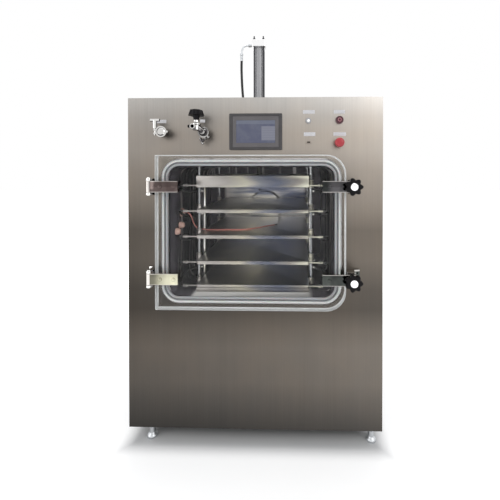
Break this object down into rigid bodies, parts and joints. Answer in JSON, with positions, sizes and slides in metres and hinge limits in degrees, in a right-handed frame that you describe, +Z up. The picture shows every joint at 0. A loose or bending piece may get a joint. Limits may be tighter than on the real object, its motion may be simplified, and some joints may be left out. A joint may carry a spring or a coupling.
{
  "type": "freeze dryer",
  "caption": "Floor-standing pilot freeze dryer: steel cabinet, clear swing door, hydraulic shelf stack, touch screen, valves and a ram on the roof.",
  "frame": {"origin": "on the floor, under the middle of the outline from the star knobs to the vacuum flange", "axes": "+Z up, -Y the way the door faces, +X to the right as seen by someone at the door"},
  "size_m": [1.08, 1.1706, 1.899],
  "materials": {
    "brushed_sheet": "vertically brushed stainless sheet",
    "mirror_steel": "mirror-polished stainless steel",
    "polished_steel": "polished stainless steel",
    "satin_steel": "satin stainless steel",
    "zinc_steel": "bright zinc-plated steel",
    "hard_chrome": "ground and hard-chromed",
    "anodised_aluminium": "clear anodised",
    "fin_aluminium": "bare fins",
    "clear_acrylic": "clear acrylic plate with polished edges",
    "display_glass": "display window",
    "dark_plastic": "moulded",
    "black_plastic": "moulded, satin",
    "red_plastic": "glossy",
    "silicone": "translucent white silicone",
    "black_rubber": "braided hose cover",
    "pink_rubber": "thin cable cover",
    "black_paint": "black enamel",
    "white_paint": "powder coat"
  },
  "bodies": {
    "cabinet": {"welded_frame": "satin_steel", "cold_trap": "satin_steel", "oil_tank": "satin_steel", "levelling_foot_1": "zinc_steel", "levelling_foot_2": "zinc_steel", "levelling_foot_3": "zinc_steel", "levelling_foot_4": "zinc_steel", "front_panel": "brushed_sheet", "left_panel": "brushed_sheet", "right_panel": "brushed_sheet", "rear_panel": "brushed_sheet", "top_panel": "brushed_sheet", "chamber_shell": "mirror_steel", "bottom_shelf": "mirror_steel", "upper_hinge_bracket": "polished_steel", "upper_clamp_bracket": "polished_steel", "lower_hinge_bracket": "polished_steel", "lower_clamp_bracket": "polished_steel", "sample_ferrule": "polished_steel", "sample_clamp": "polished_steel", "vent_ferrule": "polished_steel", "vent_clamp": "polished_steel", "vent_valve_body": "polished_steel", "guide_rod_1": "hard_chrome", "guide_rod_2": "hard_chrome", "guide_rod_3": "hard_chrome", "guide_rod_4": "hard_chrome", "cylinder_body": "anodised_aluminium", "cylinder_cap": "anodised_aluminium", "condenser": "fin_aluminium", "display_glass": "display_glass", "touch_screen": "dark_plastic", "door_gasket": "silicone", "left_oil_hoses": "black_rubber", "right_oil_hoses": "black_rubber", "hydraulic_hose": "black_rubber", "vapour_baffle": "mirror_steel", "compressor": "black_paint", "power_pack": "black_paint", "electrical_box": "white_paint"},
    "door": {"door_plate": "clear_acrylic", "upper_hinge_arm": "polished_steel", "lower_hinge_arm": "polished_steel", "upper_clamp_arm": "polished_steel", "lower_clamp_arm": "polished_steel"},
    "upper_knob": {"upper_star_knob": "black_plastic"},
    "lower_knob": {"lower_star_knob": "black_plastic"},
    "press": {"pressing_shelf": "mirror_steel", "ram_rod": "hard_chrome"},
    "rack_shelf_1": {"shelf_1": "mirror_steel"},
    "rack_shelf_2": {"shelf_2": "mirror_steel", "probe_cable": "pink_rubber"},
    "rack_shelf_3": {"shelf_3": "mirror_steel"},
    "start_key": {"start_button": "satin_steel"},
    "power_key": {"power_button": "red_plastic"},
    "stop_key": {"stop_button": "red_plastic"},
    "vent_wheel": {"vent_handwheel": "black_plastic"},
    "sample_nut": {"sample_clamp_nut": "polished_steel"},
    "vent_nut": {"vent_clamp_nut": "polished_steel"},
    "fan": {"cooling_fan": "black_plastic"}
  },
  "joints": [
    {"name": "door_hinge", "type": "hinge", "parent": "cabinet", "child": "door", "pos_m": [-0.421, -0.5413, 0.927], "axis": [0, 0, -1], "range_deg": [0, 110]},
    {"name": "upper_knob_turn", "type": "hinge", "parent": "door", "child": "upper_knob", "pos_m": [0.398, -0.5567, 1.114], "axis": [0, -1, 0], "continuous": true},
    {"name": "lower_knob_turn", "type": "hinge", "parent": "door", "child": "lower_knob", "pos_m": [0.398, -0.5567, 0.74], "axis": [0, -1, 0], "continuous": true},
    {"name": "press_stroke", "type": "slide", "parent": "cabinet", "child": "press", "axis": [0, 0, -1], "range_m": [0, 0.28], "deforming": ["left_oil_hoses", "right_oil_hoses"]},
    {"name": "shelf_1_travel", "type": "slide", "parent": "cabinet", "child": "rack_shelf_1", "axis": [0, 0, -1], "range_m": [0, 0.21]},
    {"name": "shelf_2_travel", "type": "slide", "parent": "cabinet", "child": "rack_shelf_2", "axis": [0, 0, -1], "range_m": [0, 0.14], "deforming": ["probe_cable"]},
    {"name": "shelf_3_travel", "type": "slide", "parent": "cabinet", "child": "rack_shelf_3", "axis": [0, 0, -1], "range_m": [0, 0.07]},
    {"name": "start_press", "type": "slide", "parent": "cabinet", "child": "start_key", "axis": [0, 1, 0], "range_m": [0, 0.003], "stiffness_N_per_m": 400, "springref_m": -0.002},
    {"name": "power_press", "type": "slide", "parent": "cabinet", "child": "power_key", "axis": [0, 1, 0], "range_m": [0, 0.003], "stiffness_N_per_m": 400, "springref_m": -0.002},
    {"name": "stop_press", "type": "slide", "parent": "cabinet", "child": "stop_key", "axis": [0, 1, 0], "range_m": [0, 0.005], "stiffness_N_per_m": 600, "springref_m": -0.003},
    {"name": "vent_wheel_turn", "type": "hinge", "parent": "cabinet", "child": "vent_wheel", "pos_m": [-0.2275, -0.5387, 1.382], "axis": [0, 0, 1], "continuous": true},
    {"name": "sample_nut_turn", "type": "hinge", "parent": "cabinet", "child": "sample_nut", "pos_m": [-0.407, -0.5137, 1.37], "axis": [0, 0, 1], "continuous": true},
    {"name": "vent_nut_turn", "type": "hinge", "parent": "cabinet", "child": "vent_nut", "pos_m": [-0.1915, -0.5137, 1.3136], "axis": [-0.866, 0, -0.5], "continuous": true},
    {"name": "fan_spin", "type": "hinge", "parent": "cabinet", "child": "fan", "pos_m": [0.25, 0.4856, 0.3133], "axis": [0, 1, 0], "continuous": true}
  ],
  "couplings": [
    {"joint": "shelf_1_travel", "follows": "press_stroke", "ratio": 0.75},
    {"joint": "shelf_2_travel", "follows": "press_stroke", "ratio": 0.5},
    {"joint": "shelf_3_travel", "follows": "press_stroke", "ratio": 0.25}
  ]
}
